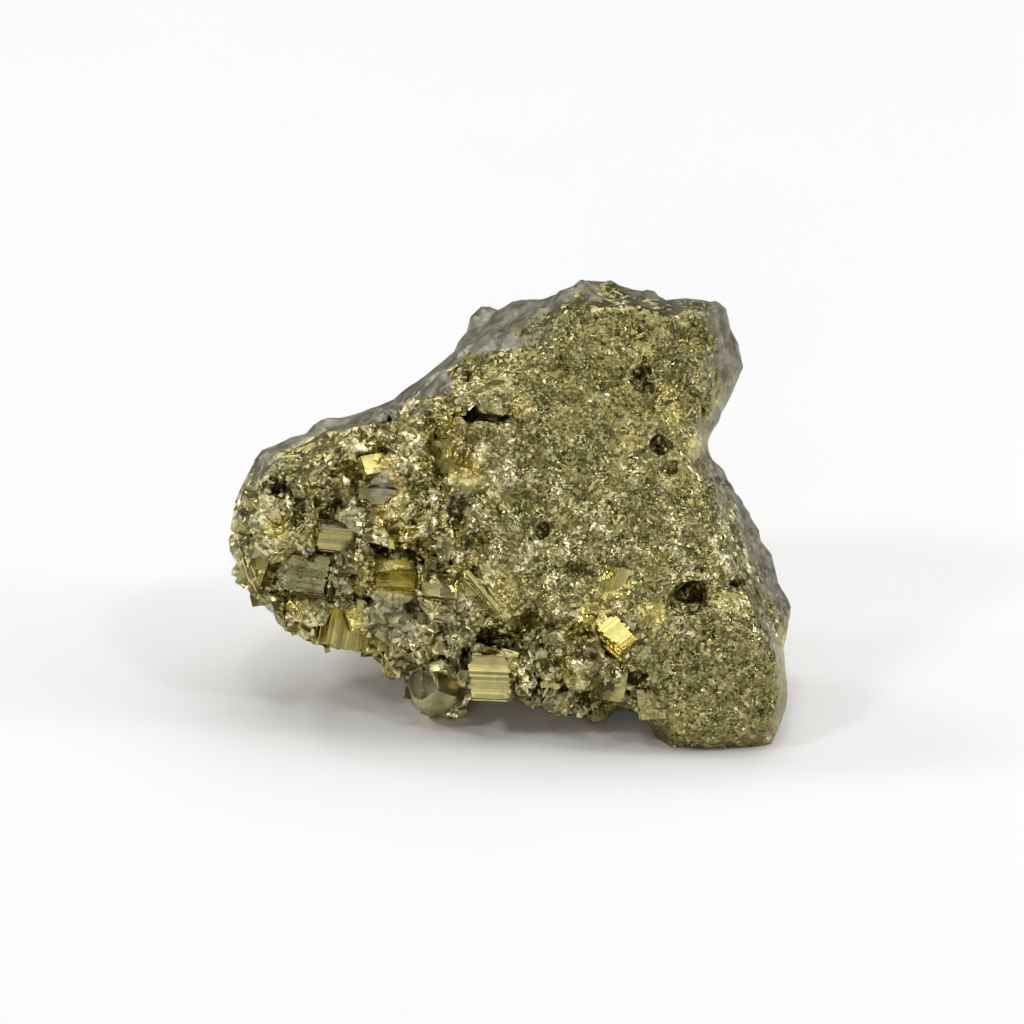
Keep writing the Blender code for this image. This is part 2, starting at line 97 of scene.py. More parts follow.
def edges_of(triangles, point_count):
    """Each edge once, and per triangle the numbers of its edges 01, 12 and 20."""
    ends = np.sort(triangles[:, [0, 1, 1, 2, 2, 0]].reshape(-1, 2), axis=1).astype(np.int64)
    keys, index = np.unique(ends[:, 0] * point_count + ends[:, 1], return_inverse=True)
    return np.stack([keys // point_count, keys % point_count], axis=1), index.reshape(-1, 3)


def split_triangles(triangles, middles):
    """The triangles cut at the middles of their edges 01, 12 and 20, where the middle isn't -1."""
    cut = middles >= 0
    count = cut.sum(axis=1)
    first = np.where(count == 1, cut.argmax(axis=1), (cut.argmin(axis=1) + 1) % 3)
    turned = (first[:, None] + np.arange(3)) % 3
    a, b, c = np.take_along_axis(triangles, turned, axis=1).T
    ab, bc, ca = np.take_along_axis(middles, turned, axis=1).T
    pieces = [triangles[count == 0]]
    for cuts, corners in (
        (1, [(a, ab, c), (ab, b, c)]),
        (2, [(ab, b, bc), (a, ab, bc), (a, bc, c)]),
        (3, [(a, ab, ca), (ab, b, bc), (ca, bc, c), (ab, bc, ca)]),
    ):
        chosen = count == cuts
        pieces += [np.stack(corner, axis=1)[chosen] for corner in corners]
    return np.concatenate(pieces)


def refined(points, triangles, edge_goal):
    """The mesh with each edge that is longer than its goal cut in half, until none is.

    Columns after a point's first three are values that it carries.
    """
    for _ in range(MOST_SPLITS):
        edges, index = edges_of(triangles, len(points))
        middles = points[edges].mean(axis=1)
        spans = (points[edges[:, 0]] - points[edges[:, 1]])[:, :3]
        long = np.linalg.norm(spans, axis=1) > edge_goal(middles)
        if not long.any():
            break
        number = np.full(len(edges), -1)
        number[long] = len(points) + np.arange(long.sum())
        points = np.concatenate([points, middles[long]])
        triangles = split_triangles(triangles, number[index])
    return points, triangles


def gathered(index, values, count):
    """Sums the values' rows by index."""
    return np.stack([np.bincount(index, column, count) for column in values.T], axis=1)


def point_normals(points, triangles):
    a, b, c = (points[triangles[:, k]] for k in range(3))
    facing = np.repeat(np.cross(b - a, c - a), 3, axis=0)
    normals = gathered(triangles.ravel(), facing, len(points))
    return normals / np.maximum(np.linalg.norm(normals, axis=1, keepdims=True), 1e-12)


def relaxed(points, triangles, share, rounds):
    """Evens the surface out where share is 1."""
    edges, _ = edges_of(triangles, len(points))
    ends, others = edges.ravel(), edges[:, ::-1].ravel()
    near = np.maximum(np.bincount(ends, minlength=len(points)), 1)[:, None]
    for _ in range(rounds):
        middle = gathered(ends, points[others], len(points)) / near
        points = points + 0.6 * share[:, None] * (middle - points)
    return points


# -------- what the surface is like, place by place


class Spot(NamedTuple):
    """A round patch of the face: its middle and radius in mm, and how strong it is."""

    x: float
    y: float
    radius: float
    amount: float = 1.0


def table(kind, *rows):
    return [kind(*row) for row in rows]


# golden patches
GILT_SPOTS = table(
    Spot,
    (-9.2, 13.4, 2.2), (-12.9, 9.9, 1.7), (-12.2, 13.3, 0.8, 0.7), (8.2, 13.0, 1.7, 0.7),
    (11.1, 10.8, 1.3, 0.7), (6.4, 10.6, 1.4, 0.7), (12.8, 26.5, 1.1, 0.6), (12.3, 28.3, 0.8, 0.5),
    (9.4, 24.3, 1.4, 0.35), (14.4, 23.8, 1.1, 0.6), (-10.6, 22.2, 1.8, 0.8), (-3.6, 22.1, 1.5, 0.8),
    (-17.6, 11.4, 0.8, 0.9), (0.8, 27.2, 1.0, 0.6), (-18.6, 17.6, 1.3, 0.7), (-0.6, 12.6, 1.4, 0.5),
)
# grey patches
TARNISH_SPOTS = table(
    Spot,
    (-7.3, 5.3, 1.6, 0.8), (-13.8, 17.1, 1.9, 0.6), (-16.2, 13.9, 2.4, 0.5), (-10.4, 20.8, 1.5, 0.8),
    (-20.5, 24.0, 3.0, 0.6), (-9.5, 10.6, 2.6, 0.5), (2.0, 33.0, 1.6, 0.3),
)
# painted highlights: clusters of faces whose colour is brightened where they catch the light
PAINTED_HIGHLIGHT_SPOTS = table(
    Spot,
    (-19.3, 18.6, 1.2, 0.6), (-20.6, 15.0, 0.9, 0.5), (-20.0, 12.9, 0.9, 0.5), (-17.4, 20.0, 0.9, 0.5),
    (-14.9, 19.0, 0.5, 0.6), (-12.9, 20.2, 0.9, 0.6), (-12.6, 23.9, 0.9, 0.5), (-8.0, 26.8, 1.1, 0.6),
    (-6.8, 25.3, 0.9, 0.5), (-6.1, 20.6, 0.9, 0.6), (-1.0, 21.0, 1.4, 0.4), (-2.6, 24.0, 0.8, 0.4),
    (0.9, 27.3, 0.9, 0.6), (-2.8, 18.4, 0.9, 0.5), (-4.3, 17.0, 0.9, 0.4), (-13.6, 17.3, 1.4, 0.5),
    (-12.3, 15.3, 0.8, 0.6), (-12.8, 12.8, 0.7, 0.7), (-9.0, 12.6, 1.0, 0.5), (-5.0, 13.9, 0.6, 0.7),
    (0.7, 15.2, 0.9, 0.4), (4.7, 24.7, 0.7, 0.5), (6.9, 21.0, 0.9, 0.4), (2.8, 31.4, 1.0, 0.6),
    (6.6, 34.7, 0.8, 0.5), (8.5, 35.3, 0.6, 0.6), (14.3, 26.8, 0.7, 0.6), (14.5, 24.0, 0.9, 0.5),
    (12.3, 21.1, 0.6, 0.5), (16.2, 16.4, 0.8, 0.5), (1.6, 4.9, 0.7, 0.5), (3.8, 3.4, 0.8, 0.5),
    (11.4, 2.6, 0.9, 0.4),
)
# small pits, whose amounts are their depths in mm
PITS = table(
    Spot,
    (5.2, 14.1, 0.8, 0.6), (2.6, 17.4, 0.8, 0.6), (3.2, 16.6, 0.6, 0.4), (17.6, 13.2, 0.45, 0.8),
    (20.3, 11.1, 0.4, 0.5), (17.0, 21.2, 0.4, 0.6), (15.3, 20.4, 0.6, 0.5), (10.2, 29.8, 0.7, 0.6),
    (10.9, 28.6, 0.6, 0.5), (-13.9, 14.4, 0.6, 0.8), (-12.3, 13.6, 0.5, 0.7), (-17.7, 9.9, 0.5, 0.7),
    (-19.0, 20.6, 1.1, 0.5), (2.3, 4.7, 0.6, 0.9),
)
# where the fine relief is weak: the dish, the rounded lump over the slot, broad crystal faces
CALM_SPOTS = table(
    Spot,
    (9.4, 23.6, 3.2, 0.85), (-1.2, 27.9, 1.9, 0.7), (-9.5, 10.4, 2.6, 0.6), (-5.8, 9.6, 2.4, 0.6),
    (8.3, 13.0, 1.7, 0.7), (11.3, 10.6, 1.4, 0.6), (-16.6, 16.4, 1.8, 0.5), (2.6, 9.4, 1.8, 0.5),
    (-6.1, 4.2, 3.5, 1.0),
)


def smooth_step(x, low, high):
    t = np.clip((x - low) / (high - low), 0, 1)
    return t * t * (3 - 2 * t)


def patchy(points, wavelength, seed):
    """A smooth random value from about -0.5 to 0.5, changing over the wavelength in mm."""
    offset = Vector((seed * 17.3, seed * 5.1, -seed * 9.7))
    return np.array([noise.noise(Vector(p) / wavelength + offset) for p in points])


def spotted(points, spots):
    """The strongest of the spots at each point of the front."""
    best = np.zeros(len(points))
    front = smooth_step(points[:, 2], -8.0, -5.0)
    for spot in spots:
        away = np.linalg.norm(points[:, :2] - (spot.x, spot.y), axis=1) / spot.radius
        best = np.maximum(best, spot.amount * (1 - smooth_step(away, 0.5, 1.1)) * front)
    return best


def coarse_share(points):
    """1 where the crystals are coarse: the left lobe and the lower front, and behind."""
    x, y, z = points.T
    left = 1 - smooth_step(x, -4.5, 0.5)
    low = (1 - smooth_step(y, 10.0, 13.0)) * (1 - smooth_step(x, 9.0, 12.0))
    behind = 1 - smooth_step(z, -7.0, -3.0)
    return np.maximum.reduce([left, low, behind])


# outlines on the face, in mm, of the smooth grey planes: along the top of the lobe and the shoulder, on the
# head's right side, on the flank's rim and along the top of the head
SMOOTH_PLANES = [
    [
        (-26, 20.8), (-21.4, 21.6), (-19.2, 23.2), (-16.2, 24.8), (-12.6, 25.4), (-9.6, 26.4),
        (-8.2, 27.7), (-5.2, 28.0), (-4.6, 29.8), (-3.6, 31.2), (0.2, 31.8), (1.4, 33.2),
        (2.9, 34.8), (4.2, 35.5), (7.4, 36.2), (9.0, 37.0), (9.0, 45.0), (-26, 45.0),
    ],
    [
        (14.9, 34.8), (15.6, 32.5), (16.3, 30.2), (17.0, 28.6), (16.6, 27.0), (15.8, 24.6),
        (26, 22.5), (26, 38), (16.8, 36.0),
    ],
    [
        (14.9, 23.8), (15.9, 21.8), (17.3, 20.2), (17.9, 17.6), (18.9, 15.2), (20.0, 12.6),
        (21.2, 10.4), (26, 10), (26, 23.6),
    ],
    [(10.0, 35.4), (13.6, 35.2), (14.4, 36.0), (14.4, 40.0), (10.0, 40.0)],
]


def inside(points, outline, blur):
    """1 inside the outline on the face and 0 outside, fading over the blur each side of it."""
    place = points[:, :2]
    within = np.zeros(len(points), bool)
    nearest_edge = np.full(len(points), np.inf)
    for start, end in zip(np.array(outline, float), np.roll(outline, -1, axis=0).astype(float)):
        along, away = end - start, place - start
        share = np.clip(away @ along / (along @ along), 0, 1)
        nearest_edge = np.minimum(nearest_edge, np.linalg.norm(away - share[:, None] * along, axis=1))
        crosses = (place[:, 1] < start[1]) != (place[:, 1] < end[1])
        rise = along[1] if abs(along[1]) > 1e-9 else 1e-9
        within ^= crosses & (away[:, 0] < away[:, 1] * along[0] / rise)
    return smooth_step(np.where(within, nearest_edge, -nearest_edge), -blur, blur)


def on_planes(points):
    return np.maximum.reduce([inside(points, outline, 0.45) for outline in SMOOTH_PLANES])


def smooth_share(points):
    """1 on the smooth grey planes, with an uneven edge."""
    wobble = np.column_stack([patchy(points, 1.3, 11), patchy(points, 1.3, 12)])
    return on_planes(points[:, :2] + 1.2 * wobble)


def turn_of(block):
    """The block's own axes, as a matrix's columns."""
    return np.array(Euler([math.radians(t) for t in block.turn]).to_matrix())


def near_blocks(points, blocks, margin, inset=0.0):
    """1 on the named crystals' and hollows' own faces, less an inset, fading over the margin around them."""
    share = np.zeros(len(points))
    for block in blocks:
        outside = np.abs((points - block.at) @ turn_of(block)) - np.array(block.size) / 2
        outside = outside + np.array([inset, inset, 0.0])
        away = np.linalg.norm(np.maximum(outside, 0), axis=1)
        share = np.maximum(share, 1 - smooth_step(away, 0.1, 0.1 + margin))
    return share


def random_turns(rng, count, spread=None):
    """Turns with no favoured direction, or by about spread radians.

    They are matrices whose columns are the turned axes.
    """
    q = rng.normal(size=(count, 4))
    if spread is not None:
        q = np.column_stack([np.ones(count), 0.3 * spread * q[:, 1:]])
    w, x, y, z = q.T / np.linalg.norm(q, axis=1)
    rows = [
        [1 - 2 * (y * y + z * z), 2 * (x * y - w * z), 2 * (x * z + w * y)],
        [2 * (x * y + w * z), 1 - 2 * (x * x + z * z), 2 * (y * z - w * x)],
        [2 * (x * z - w * y), 2 * (y * z + w * x), 1 - 2 * (x * x + y * y)],
    ]
    return np.ascontiguousarray(np.moveaxis(np.array(rows), 2, 0))


def nearest(points, sites, count=1):
    """The numbers of the sites nearest to each point."""
    tree = KDTree(len(sites))
    for i, site in enumerate(sites):
        tree.insert(site, i)
    tree.balance()
    return np.array([[i for _, i, _ in tree.find_n(p, count)] for p in points])


def thinned(points, spacing, rng):
    """A share of the points, no more than one in each cell of a grid."""
    points = points[rng.permutation(len(points))]
    _, kept = np.unique(np.floor(points / spacing).astype(int), axis=0, return_index=True)
    return points[kept]


def family_turns(sites, rng, family_size, spread):
    """Turns that the sites of one family nearly share, as parallel-grown crystals do."""
    if not family_size:
        return random_turns(rng, len(sites))
    heads = thinned(sites, family_size, rng)
    shared = random_turns(rng, len(heads))[nearest(sites, heads)[:, 0]]
    return shared @ random_turns(rng, len(sites), spread)


def pile_heights(points, normals, rng, spacing, side, family_size=0.0):
    """How far along its normal each point leaves a pile of sunken cubes, from -1 to 1 about the middle."""
    sites = thinned(points, spacing, rng)
    turns = family_turns(sites, rng, family_size, spread=0.25)
    halves = side * rng.uniform(0.35, 0.65, (len(sites), 1)) * rng.uniform(0.8, 1.2, (len(sites), 3))
    near = nearest(points, sites, 6)
    best = np.full(len(points), -0.35 * side)
    for who in near.T:
        start = np.einsum("nji,nj->ni", turns[who], points - sites[who])
        along = np.einsum("nji,nj->ni", turns[who], normals)
        along = np.where(np.abs(along) < 1e-6, 1e-6, along)
        half = halves[who]
        leave = ((np.sign(along) * half - start) / along).min(axis=1)
        enter = ((-np.sign(along) * half - start) / along).max(axis=1)
        best = np.where((leave > enter) & (leave > best), leave, best)
    return np.clip(best / side, -0.35, 0.65) / 0.5 - 0.3


def facet_heights(points, rng, spacing, slope):
    """Flat facets about spacing apart that each tilt their own way by up to the slope, in mm."""
    sites = thinned(points, spacing, rng)
    tilts = rng.normal(size=(len(sites), 3)) * slope * 0.6
    bases = rng.uniform(-0.2, 0.2, len(sites)) * slope * spacing
    heights = []
    for who in nearest(points, sites, 5).T:
        away = points - sites[who]
        dome = 0.45 * slope / spacing * (away**2).sum(axis=1)
        heights.append(bases[who] + (tilts[who] * away).sum(axis=1) - dome)
    return np.max(heights, axis=0)


def crumpled(points, rng, spacing, fold, slope):
    """Clumps of straight sharp folds that each lean and run their own way, in mm about the middle height."""
    sites = thinned(points, spacing, rng)
    count = len(sites)
    tilts = rng.normal(size=(count, 3)) * slope * 0.4
    ways = random_turns(rng, count)[:, :, 0]
    widths = fold * rng.uniform(0.6, 1.5, count)
    phases = rng.random(count)
    bases = rng.uniform(-0.2, 0.2, count) * slope * spacing
    heights = []
    for who in nearest(points, sites, 5).T:
        away = points - sites[who]
        step = (ways[who] * away).sum(axis=1) / widths[who] + phases[who]
        ridge = np.abs(step - np.round(step)) * slope * widths[who]
        dome = 0.4 * slope / spacing * (away**2).sum(axis=1)
        heights.append(bases[who] + (tilts[who] * away).sum(axis=1) + ridge - dome)
    height = np.max(heights, axis=0)
    return height - height.mean()


# -------- named crystals and hollows


class Block(NamedTuple):
    """A crystal or a hollow: its middle and size in mm, and its turn in degrees about x, y and z.

    Its flutes run along one of its own axes. gilt and tarnish are its colours, and dim is how much painted
    shade darkens it.
    """

    name: str
    at: tuple
    size: tuple
    turn: tuple
    along: int = 1
    gilt: float = 0.0
    tarnish: float = 0.0
    dim: float = 0.0


# crystals with striped faces
FLUTED = table(
    Block,
    ("striped_corner", (-13.7, 10.2, 1.05), (3.9, 4.2, 3.9), (6, 33, -7), 1, 0.5, 0.0, 0.15),
    ("window_cube", (-1.55, 6.1, 3.95), (3.3, 3.9, 4.6), (10, -5, -2), 0, 0.35, 0.1, 0.5),
    ("bright_cube", (8.15, 8.75, 7.8), (1.9, 2.8, 2.4), (-26.1, 22.6, 38.0), 0, 0.8, 0.0, 0.0),
    ("bright_bar", (8.2, 12.9, 5.75), (2.0, 3.6, 2.4), (12, 24, -8), 1, 0.5, 0.0, 0.15),
    ("left_slab", (-16.0, 13.7, 3.9), (4.4, 3.2, 2.8), (-6, -24, -8), 0, 0.2, 0.1, 0.2),
    ("pink_slab", (-13.8, 17.0, 4.6), (3.4, 2.2, 2.8), (16, 10, -5), 0, 0.35, 0.0, 0.1),
    ("plate_edge", (-2.7, 12.2, 6.55), (0.24, 4.2, 2.0), (4, 30, 42), 1, 0.35, 0.0, 0.0),
    ("gold_floor", (-9.2, 13.5, 5.6), (3.0, 2.4, 1.0), (-38, 0, -4), 0, 0.9, 0.0, 0.0),
    ("gold_wedge", (-10.6, 22.1, 4.85), (3.0, 1.7, 2.4), (-28, 20, 10), 0, 0.6, 0.0, 0.1),
)
# crystals of the CAD solid whose faces are the skin's own
PLAIN_CRYSTALS = table(
    Block,
    ("bright_core", (8.7, 8.65, 7.25), (2.5, 2.9, 2.9), (-46.7, 16.2, 43.3)),
    ("white_plate", (-10.6, 20.7, 5.88), (3.2, 0.9, 2.4), (26, 8, -4)),
    ("gold_step", (-3.6, 22.1, 4.8), (2.4, 1.6, 2.0), (30, -14, -10)),
    ("leaf_plate", (-5.6, 23.2, 5.55), (1.1, 2.6, 1.8), (8, 38, 12)),
    ("bump_mirror", (-7.2, 5.2, 2.34), (2.1, 2.3, 2.2), (-14, -40, 12)),
    ("bump_facet", (-5.0, 4.8, 2.06), (2.4, 2.2, 2.0), (30, 28, -8)),
    ("notch_cube", (11.3, 3.8, 5.4), (2.2, 2.4, 2.6), (8, -14, 3)),
    ("ridge_cube", (7.7, 5.3, 6.47), (1.9, 2.4, 2.4), (10, 20, -6)),
    ("ledge_block", (-6.0, 12.6, 5.61), (3.4, 2.0, 2.4), (-22, 10, -6)),
    ("left_tip", (-19.7, 14.2, 2.83), (2.4, 3.4, 2.8), (10, -34, -26)),
)
HOLLOWS = table(
    Block,
    ("slot_end", (-3.2, 26.4, 6.07), (1.5, 1.2, 5.0), (0, 8, 42)),
    ("slot", (-1.6, 26.15, 5.63), (2.8, 0.5, 4.0), (0, 0, -3)),
    ("alcove_roof", (-0.9, 8.7, 7.85), (3.8, 1.3, 5.0), (-6, 0, -18)),
    ("alcove_side", (0.9, 7.3, 7.96), (1.1, 3.2, 4.6), (0, 0, 20)),
    ("alcove_gap", (-3.7, 7.2, 6.53), (0.9, 1.8, 4.4), (0, 0, 0)),
    ("rough_pit", (13.9, 11.8, 8.52), (3.5, 3.1, 4.6), (4, 6, 12)),
    ("dish_pit", (11.8, 24.0, 5.78), (1.4, 1.4, 1.6), (45, 35, 30)),
    ("gold_recess", (-9.1, 14.3, 7.22), (3.5, 3.5, 4.6), (4, 6, -3)),
    ("head_pit", (10.4, 29.2, 4.9), (1.2, 1.9, 2.0), (10, 38, 20)),
)
FILLED = [block for block in HOLLOWS if block.name == "gold_recess"]
FILL = 0.9  # mm that crystals fill of the golden recess
HALF_FILLED = [block for block in HOLLOWS if block.name == "rough_pit"]
HALF_FILL_LEVEL = 7.8  # mm out of the face, the level up to which crystals half fill the rough pit
# blocks that a striped or a rounded crystal stands in front of
COVERED = (
    "striped_corner", "window_cube", "bright_cube", "left_slab", "pink_slab", "bump_mirror", "bump_facet",
)


# -------- materials


# the metal's colours, in linear light
# cream is the colour of painted glints
PAINTED_GLINT_CREAM = (0.82, 0.745, 0.46)
BRASS = (0.49, 0.445, 0.215)
OLIVE = (0.225, 0.20, 0.075)
GOLD = (0.74, 0.63, 0.22)
GREY = (0.37, 0.365, 0.32)
SLATE = (0.19, 0.175, 0.13)
# the colour of painted shade in hollows, also of darker patches on the rounded crystal
SHADE_AND_DARK_COLOUR = (0.05, 0.042, 0.012)


def new_material(name):
    """A material, its node tree and its shader."""
    material = bpy.data.materials.new(name)
    material.use_nodes = True
    return material, material.node_tree, material.node_tree.nodes["Principled BSDF"]


def attribute(tree, name):
    node = tree.nodes.new("ShaderNodeAttribute")
    node.attribute_name = name
    return node.outputs["Fac"]


def noise_of(tree, place, wavelength, detail=2):
    """A noise that changes over the wavelength in mm."""
    texture = tree.nodes.new("ShaderNodeTexNoise")
    texture.inputs["Scale"].default_value = 1 / (wavelength * MM)
    texture.inputs["Detail"].default_value = detail
    tree.links.new(place, texture.inputs["Vector"])
    return texture.outputs["Fac"]


def ranged(tree, value, low, high, out_low=0.0, out_high=1.0):
    ramp = tree.nodes.new("ShaderNodeMapRange")
    for name, number in (("From Min", low), ("From Max", high), ("To Min", out_low), ("To Max", out_high)):
        ramp.inputs[name].default_value = number
    tree.links.new(value, ramp.inputs["Value"])
    return ramp.outputs["Result"]


def feed(tree, socket, value):
    """Sets the socket to a constant, or joins it to another node's output."""
    if isinstance(value, float):
        socket.default_value = value
    elif isinstance(value, tuple):
        socket.default_value = (*value, 1)[: len(socket.default_value)]
    else:
        tree.links.new(value, socket)


def mixed(tree, share, a, b, kind="RGBA"):
    """Between a and b, either of which can be a constant or another node's output."""
    mix = tree.nodes.new("ShaderNodeMix")
    mix.data_type = kind
    first, out = (6, 2) if kind == "RGBA" else (2, 0)
    tree.links.new(share, mix.inputs["Factor"])
    feed(tree, mix.inputs[first], a)
    feed(tree, mix.inputs[first + 1], b)
    return mix.outputs[out]


def combined(tree, operation, a, b, kind="ShaderNodeMath", out=0):
    node = tree.nodes.new(kind)
    node.operation = operation
    feed(tree, node.inputs[0], a)
    feed(tree, node.inputs[1], b)
    return node.outputs[out]


CELL_BEND = 1.6  # how far the cells' outlines bend, in cells


def tilted_cells(tree, place, cell, slope):
    """Flat facets of about the cell's size in mm that each tilt their own way.

    Gives their height in metres and a tint that each has.
    """
    bend = tree.nodes.new("ShaderNodeTexNoise")
    bend.inputs["Scale"].default_value = 1 / (0.9 * cell * MM)
    tree.links.new(place, bend.inputs["Vector"])
    bent = tree.nodes.new("ShaderNodeVectorMath")
    bent.operation = "MULTIPLY_ADD"
    bent.inputs[1].default_value = (CELL_BEND * cell * MM,) * 3
    tree.links.new(bend.outputs["Color"], bent.inputs[0])
    tree.links.new(place, bent.inputs[2])
    cells = tree.nodes.new("ShaderNodeTexVoronoi")
    cells.inputs["Scale"].default_value = 1 / (cell * MM)
    tree.links.new(bent.outputs[0], cells.inputs["Vector"])
    kind = "ShaderNodeVectorMath"
    away = combined(tree, "SUBTRACT", place, cells.outputs["Position"], kind)
    tilt = combined(tree, "SUBTRACT", cells.outputs["Color"], (0.5, 0.5, 0.5), kind)
    rise = combined(tree, "DOT_PRODUCT", away, tilt, kind, "Value")
    return combined(tree, "MULTIPLY", rise, float(slope)), cells.outputs["Color"]


def pyrite_material(name, roughness, speckle, facets, coarse_facets=None):
    """Metal whose colour changes over a few millimetres and again from facet to facet.

    It is grey and dull where tarnished, golden in patches and darkened with painted shade in hollows. Its
    colour is also raised by painted light and painted highlights, and its brightest facets turn cream as
    painted glints. speckle is how much facets differ. facets is the size in mm and the slope of the smallest
    ones, and coarse_facets is the same for where the crystals are coarse.
    """
    material, tree, shader = new_material(name)
    shader.inputs["Metallic"].default_value = 1.0
    place = tree.nodes.new("ShaderNodeTexCoord").outputs["Object"]
    labels = ("tarnish", "gilt", "tone_and_painted_light", "shade_and_dark_tone")
    tarnish, gilt, tone_and_painted_light, shade_and_dark_tone = (attribute(tree, label) for label in labels)
    height, tint = tilted_cells(tree, place, *facets)
    if coarse_facets:
        coarse = attribute(tree, "coarse")
        broad, broad_tint = tilted_cells(tree, place, *coarse_facets)
        height = mixed(tree, coarse, height, broad, "FLOAT")
        tint = mixed(tree, coarse, tint, broad_tint)
    ripple = combined(tree, "MULTIPLY", noise_of(tree, place, 0.2), 0.012 * MM)
    height = combined(tree, "ADD", height, ripple)

    # shine: the painted light and highlights of tone_and_painted_light, plus each facet's tint
    shine = combined(tree, "ADD", tone_and_painted_light, ranged(tree, tint, 0.2, 0.8, -speckle, speckle))
    colour = mixed(tree, shine, OLIVE, BRASS)
    # the brightest facets turn cream: painted glints
    colour = mixed(tree, ranged(tree, shine, 0.85, 1.15), colour, PAINTED_GLINT_CREAM)
    colour = mixed(tree, gilt, colour, GOLD)
    dull = ranged(tree, noise_of(tree, place, 0.8), 0.35, 0.65, 0.8, 1.0)
    dull = combined(tree, "MULTIPLY", tarnish, dull)
    stain = ranged(tree, noise_of(tree, place, 1.1, 8), 0.4, 0.6)
    colour = mixed(tree, dull, colour, mixed(tree, stain, SLATE, GREY))
    # painted shade: hollows and dim crystals are darkened towards the shade colour
    colour = mixed(tree, shade_and_dark_tone, colour, SHADE_AND_DARK_COLOUR)
    tree.links.new(colour, shader.inputs["Base Color"])
    worn = ranged(tree, noise_of(tree, place, 1.1), 0.3, 0.7, *roughness)
    tree.links.new(mixed(tree, dull, worn, 0.6, "FLOAT"), shader.inputs["Roughness"])
    bump = tree.nodes.new("ShaderNodeBump")
    bump.inputs["Distance"].default_value = 1.0
    tree.links.new(ranged(tree, tarnish, 0.0, 1.0, 1.0, 0.3), bump.inputs["Strength"])
    tree.links.new(height, bump.inputs["Height"])
    tree.links.new(bump.outputs["Normal"], shader.inputs["Normal"])
    return material


def floor_material():
    material, tree, shader = new_material("paper_floor")
    place = tree.nodes.new("ShaderNodeTexCoord").outputs["Object"]
    fibre = noise_of(tree, place, 25.0)
    tree.links.new(mixed(tree, fibre, (0.93,) * 3, (0.95,) * 3), shader.inputs["Base Color"])
    shader.inputs["Roughness"].default_value = 0.9
    return material


# -------- pieces


def new_object(name, data):
    made = bpy.data.objects.new(name, data)
    bpy.context.scene.collection.objects.link(made)
    return made


def looks(tarnish, gilt, tone_and_painted_light, shade_and_dark_tone, corners=1):
    """The values that the material reads, each kept from 0 to 1 and repeated for a box's corners."""
    values = {"tarnish": tarnish, "gilt": gilt, "tone_and_painted_light": tone_and_painted_light, "shade_and_dark_tone": shade_and_dark_tone}
    return {label: np.repeat(np.clip(value, 0, 1), corners) for label, value in values.items()}


def new_piece(name, points, faces, material, attributes):
    """A mesh object from points in the face frame, riding on the body and no lower than the floor."""
    mesh = bpy.data.meshes.new(name)
    placed = to_row(points)
    placed[:, 2] = np.maximum(placed[:, 2], 0)
    mesh.from_pydata(placed, [], faces.tolist())
    for label, values in attributes.items():
        layer = mesh.attributes.new(label, "FLOAT", "POINT")
        layer.data.foreach_set("value", np.asarray(values, np.float32))
    mesh.materials.append(material)
    mesh.update()
    piece = new_object(name, mesh)
    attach(piece, "root")
    return piece


def edge_goal(middles):
    """The longest edge allowed at places on the surface, whose last column is how far it faces forward."""
    seen = smooth_step(middles[:, 2], -4.0, -1.0) * smooth_step(middles[:, -1], 0.1, 0.7)
    goal = BACK_EDGE + (FRONT_EDGE - BACK_EDGE) * seen
    return np.where(on_planes(middles) > 0.9, np.maximum(goal, FLAT_EDGE), goal)


def tarnish_of(points):
    """How grey the metal is: the smooth planes, and patches elsewhere."""
    patches = 0.25 * smooth_step(patchy(points, 3.0, 3), 0.1, 0.4) * coarse_share(points)
    return np.maximum.reduce([0.9 * smooth_share(points), patches, spotted(points, TARNISH_SPOTS)])


def gilt_of(points):
    patches = (0.1 + 0.3 * coarse_share(points)) * smooth_step(patchy(points, 3.0, 4), 0.1, 0.4)
    return np.maximum(patches, spotted(points, GILT_SPOTS)) * (1 - 0.9 * smooth_share(points))


def tone_and_painted_light_of(points):
    """How bright the metal's colour is: in random patches, with painted shade on the head and foot,
    painted light among coarse crystals and painted highlights at the highlight spots.
    """
    x, y, _ = points.T
    head = smooth_step(y, 22.0, 26.0) * smooth_step(x, -2.0, 2.0)
    foot = (1 - smooth_step(y, 6.0, 10.0)) * smooth_step(x, 8.0, 11.0)
    # painted light among the coarse crystals, painted shade on the head and foot
    zones = 0.2 * coarse_share(points) - 0.36 * head - 0.3 * foot
    patches = 0.8 * patchy(points, 1.6, 5) + 0.6 * coarse_share(points) * patchy(points, 3.5, 13)
    return np.clip(0.37 + patches + zones + spotted(points, PAINTED_HIGHLIGHT_SPOTS), 0, 1.1)


def sunk_below(points, triangles, rounds):
    """How far in mm each point lies below its smoothed surroundings."""
    level = relaxed(points, triangles, np.ones(len(points)), rounds)
    return ((level - points) * point_normals(points, triangles)).sum(axis=1)


def ripples(points):
    """Low waves across the granular face, running down to the right."""
    along, across = 0.86 * points[:, 0] - 0.5 * points[:, 1], 0.5 * points[:, 0] + 0.86 * points[:, 1]
    return patchy(np.column_stack([along / 3.5, across, 0.6 * points[:, 2]]), 0.8, 6)


def streaks(points):
    """Fine straight streaks across the smooth planes, rising to the right."""
    along, across = 0.88 * points[:, 0] + 0.47 * points[:, 1], 0.88 * points[:, 1] - 0.47 * points[:, 0]
    return patchy(np.column_stack([along / 5.0, across, points[:, 2]]), 0.7, 10)


